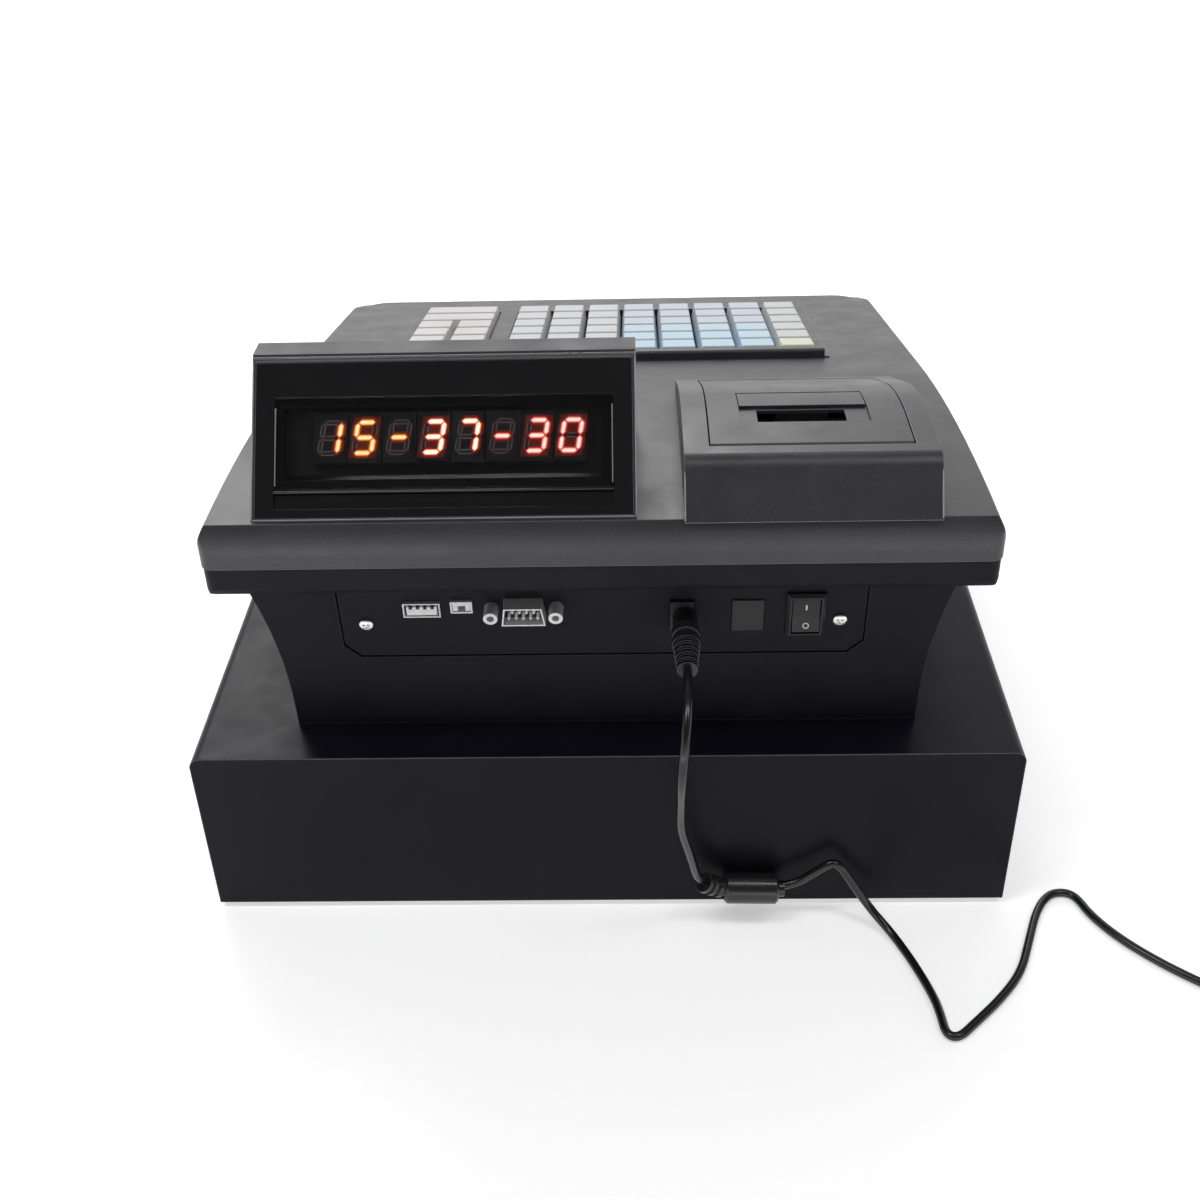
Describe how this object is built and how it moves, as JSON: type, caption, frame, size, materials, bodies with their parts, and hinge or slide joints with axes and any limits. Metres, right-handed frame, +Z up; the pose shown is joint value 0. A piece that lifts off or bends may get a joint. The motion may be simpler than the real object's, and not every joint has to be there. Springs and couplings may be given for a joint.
{
  "type": "ticket register",
  "caption": "Electronic cash register with a sloping keyboard, a tilted customer display and a ticket printer, standing on a sliding cash drawer, with its power lead.",
  "frame": {"origin": "on the floor under the middle of the cash drawer", "axes": "+Z up, the operator's side and the drawer front at -Y, the customer display and the rear panel at +Y"},
  "size_m": [0.4959, 0.4342, 0.2369],
  "materials": {
    "black_steel": "satin black powder coat",
    "zinc_sheet": "zinc-plated sheet",
    "foot_rubber": "matte",
    "bright_steel": "bright plated",
    "charcoal_shell": "fine-textured moulding",
    "till_plastic": "smooth moulding",
    "gloss_black": "polished black",
    "smoked_window": "smoked clear",
    "digit_red": "lit segments on a dark board",
    "board_green": "circuit board",
    "plastic_black": "moulded black",
    "paper_white": "paper",
    "roller_rubber": "matte",
    "key_white": "satin key caps",
    "pins_gold": "plated pins",
    "lead_black": "glossy lead jacket"
  },
  "bodies": {
    "base": {"drawer_case": "black_steel", "case_floor": "zinc_sheet", "case_feet": "foot_rubber", "case_rails": "zinc_sheet", "latch_bracket": "zinc_sheet", "latch_solenoid": "zinc_sheet", "base_shell": "charcoal_shell", "top_shell": "charcoal_shell", "rear_panel": "charcoal_shell", "panel_screws": "bright_steel", "usb_socket": "bright_steel", "mini_usb_socket": "bright_steel", "serial_shell": "bright_steel", "serial_pins": "pins_gold", "jack_posts": "bright_steel", "dc_jack": "plastic_black", "blank_plug": "plastic_black", "switch_frame": "plastic_black", "main_board": "board_green", "display_hood": "charcoal_shell", "display_bezel": "gloss_black", "customer_lens": "smoked_window", "digit_board": "digit_red", "operator_lens": "smoked_window", "printer_hood": "charcoal_shell", "printer_frame": "till_plastic", "print_head": "plastic_black", "key_bezel": "charcoal_shell", "dc_plug": "plastic_black", "cord_lead": "lead_black", "ferrite_bead": "plastic_black", "cord_coil": "lead_black", "wall_adapter": "plastic_black"},
    "drawer": {"tray_rails": "zinc_sheet", "drawer_tray": "zinc_sheet", "drawer_front": "black_steel", "lock_body": "bright_steel", "till_insert": "till_plastic", "coin_cups": "till_plastic", "clip_rod": "zinc_sheet"},
    "cages": {"ball_cages": "zinc_sheet"},
    "lock_core": {"lock_barrel": "bright_steel"},
    "bill_clip_1": {"bill_clip_1": "till_plastic"},
    "bill_clip_2": {"bill_clip_2": "till_plastic"},
    "bill_clip_3": {"bill_clip_3": "till_plastic"},
    "bill_clip_4": {"bill_clip_4": "till_plastic"},
    "hook": {"latch_hook": "zinc_sheet"},
    "rocker": {"rocker_button": "plastic_black"},
    "lid": {"printer_lid": "charcoal_shell"},
    "flap": {"lid_latch": "charcoal_shell"},
    "platen": {"platen_roller": "roller_rubber"},
    "roll": {"paper_roll": "paper_white"},
    "key_row_1": {"key_row_1": "key_white"},
    "key_row_2": {"key_row_2": "key_white"},
    "key_row_3": {"key_row_3": "key_white"},
    "key_row_4": {"key_row_4": "key_white"},
    "key_row_5": {"key_row_5": "key_white"},
    "key_row_6": {"key_row_6": "key_white"},
    "wide_keys": {"wide_keys": "key_white"},
    "pad_keys": {"pad_keys": "key_white"}
  },
  "joints": [
    {"name": "drawer_slide", "type": "slide", "parent": "base", "child": "drawer", "axis": [0, -1, 0], "range_m": [0, 0.23]},
    {"name": "cage_slide", "type": "slide", "parent": "base", "child": "cages", "axis": [0, -1, 0], "range_m": [0, 0.115]},
    {"name": "lock_turn", "type": "hinge", "parent": "drawer", "child": "lock_core", "pos_m": [0, -0.174, 0.048], "axis": [0, -1, 0], "range_deg": [0, 90]},
    {"name": "bill_clip_1_lift", "type": "hinge", "parent": "drawer", "child": "bill_clip_1", "pos_m": [-0.11445, 0.1228, 0.05], "axis": [-1, 0, 0], "range_deg": [0, 35], "stiffness_Nm_per_rad": 0.06, "springref_deg": -17.19},
    {"name": "bill_clip_2_lift", "type": "hinge", "parent": "drawer", "child": "bill_clip_2", "pos_m": [-0.03815, 0.1228, 0.05], "axis": [-1, 0, 0], "range_deg": [0, 35], "stiffness_Nm_per_rad": 0.06, "springref_deg": -17.19},
    {"name": "bill_clip_3_lift", "type": "hinge", "parent": "drawer", "child": "bill_clip_3", "pos_m": [0.03815, 0.1228, 0.05], "axis": [-1, 0, 0], "range_deg": [0, 35], "stiffness_Nm_per_rad": 0.06, "springref_deg": -17.19},
    {"name": "bill_clip_4_lift", "type": "hinge", "parent": "drawer", "child": "bill_clip_4", "pos_m": [0.11445, 0.1228, 0.05], "axis": [-1, 0, 0], "range_deg": [0, 35], "stiffness_Nm_per_rad": 0.06, "springref_deg": -17.19},
    {"name": "latch_turn", "type": "hinge", "parent": "base", "child": "hook", "pos_m": [0, 0.1638, 0.0132], "axis": [-1, 0, 0], "range_deg": [0, 10]},
    {"name": "rocker_tilt", "type": "hinge", "parent": "base", "child": "rocker", "pos_m": [-0.0785, 0.16085, 0.13973], "axis": [-1, 0, 0], "range_deg": [0, 18]},
    {"name": "lid_hinge", "type": "hinge", "parent": "base", "child": "lid", "pos_m": [-0.078, 0.1544, 0.2081], "axis": [-1, 0, 0], "range_deg": [0, 95]},
    {"name": "lid_latch_pull", "type": "hinge", "parent": "lid", "child": "flap", "pos_m": [-0.07735, 0.10685, 0.2052], "axis": [1, 0, 0], "range_deg": [0, 15], "stiffness_Nm_per_rad": 0.03, "springref_deg": -17.19},
    {"name": "platen_spin", "type": "hinge", "parent": "lid", "child": "platen", "pos_m": [-0.07735, 0.066, 0.182], "axis": [1, 0, 0], "continuous": true},
    {"name": "roll_spin", "type": "hinge", "parent": "base", "child": "roll", "pos_m": [-0.07735, 0.118, 0.1793], "axis": [1, 0, 0], "continuous": true},
    {"name": "key_row_1_press", "type": "slide", "parent": "base", "child": "key_row_1", "axis": [0, 0.2147, -0.9767], "range_m": [0, 0.0035], "stiffness_N_per_m": 120, "springref_m": -0.01},
    {"name": "key_row_2_press", "type": "slide", "parent": "base", "child": "key_row_2", "axis": [0, 0.2147, -0.9767], "range_m": [0, 0.0035], "stiffness_N_per_m": 120, "springref_m": -0.01},
    {"name": "key_row_3_press", "type": "slide", "parent": "base", "child": "key_row_3", "axis": [0, 0.2147, -0.9767], "range_m": [0, 0.0035], "stiffness_N_per_m": 120, "springref_m": -0.01},
    {"name": "key_row_4_press", "type": "slide", "parent": "base", "child": "key_row_4", "axis": [0, 0.2147, -0.9767], "range_m": [0, 0.0035], "stiffness_N_per_m": 120, "springref_m": -0.01},
    {"name": "key_row_5_press", "type": "slide", "parent": "base", "child": "key_row_5", "axis": [0, 0.2147, -0.9767], "range_m": [0, 0.0035], "stiffness_N_per_m": 120, "springref_m": -0.01},
    {"name": "key_row_6_press", "type": "slide", "parent": "base", "child": "key_row_6", "axis": [0, 0.2147, -0.9767], "range_m": [0, 0.0035], "stiffness_N_per_m": 120, "springref_m": -0.01},
    {"name": "wide_keys_press", "type": "slide", "parent": "base", "child": "wide_keys", "axis": [0, 0.2147, -0.9767], "range_m": [0, 0.0035], "stiffness_N_per_m": 120, "springref_m": -0.01},
    {"name": "pad_keys_press", "type": "slide", "parent": "base", "child": "pad_keys", "axis": [0, 0.2147, -0.9767], "range_m": [0, 0.0035], "stiffness_N_per_m": 120, "springref_m": -0.01}
  ],
  "couplings": [
    {"joint": "cage_slide", "follows": "drawer_slide", "ratio": 0.5}
  ]
}
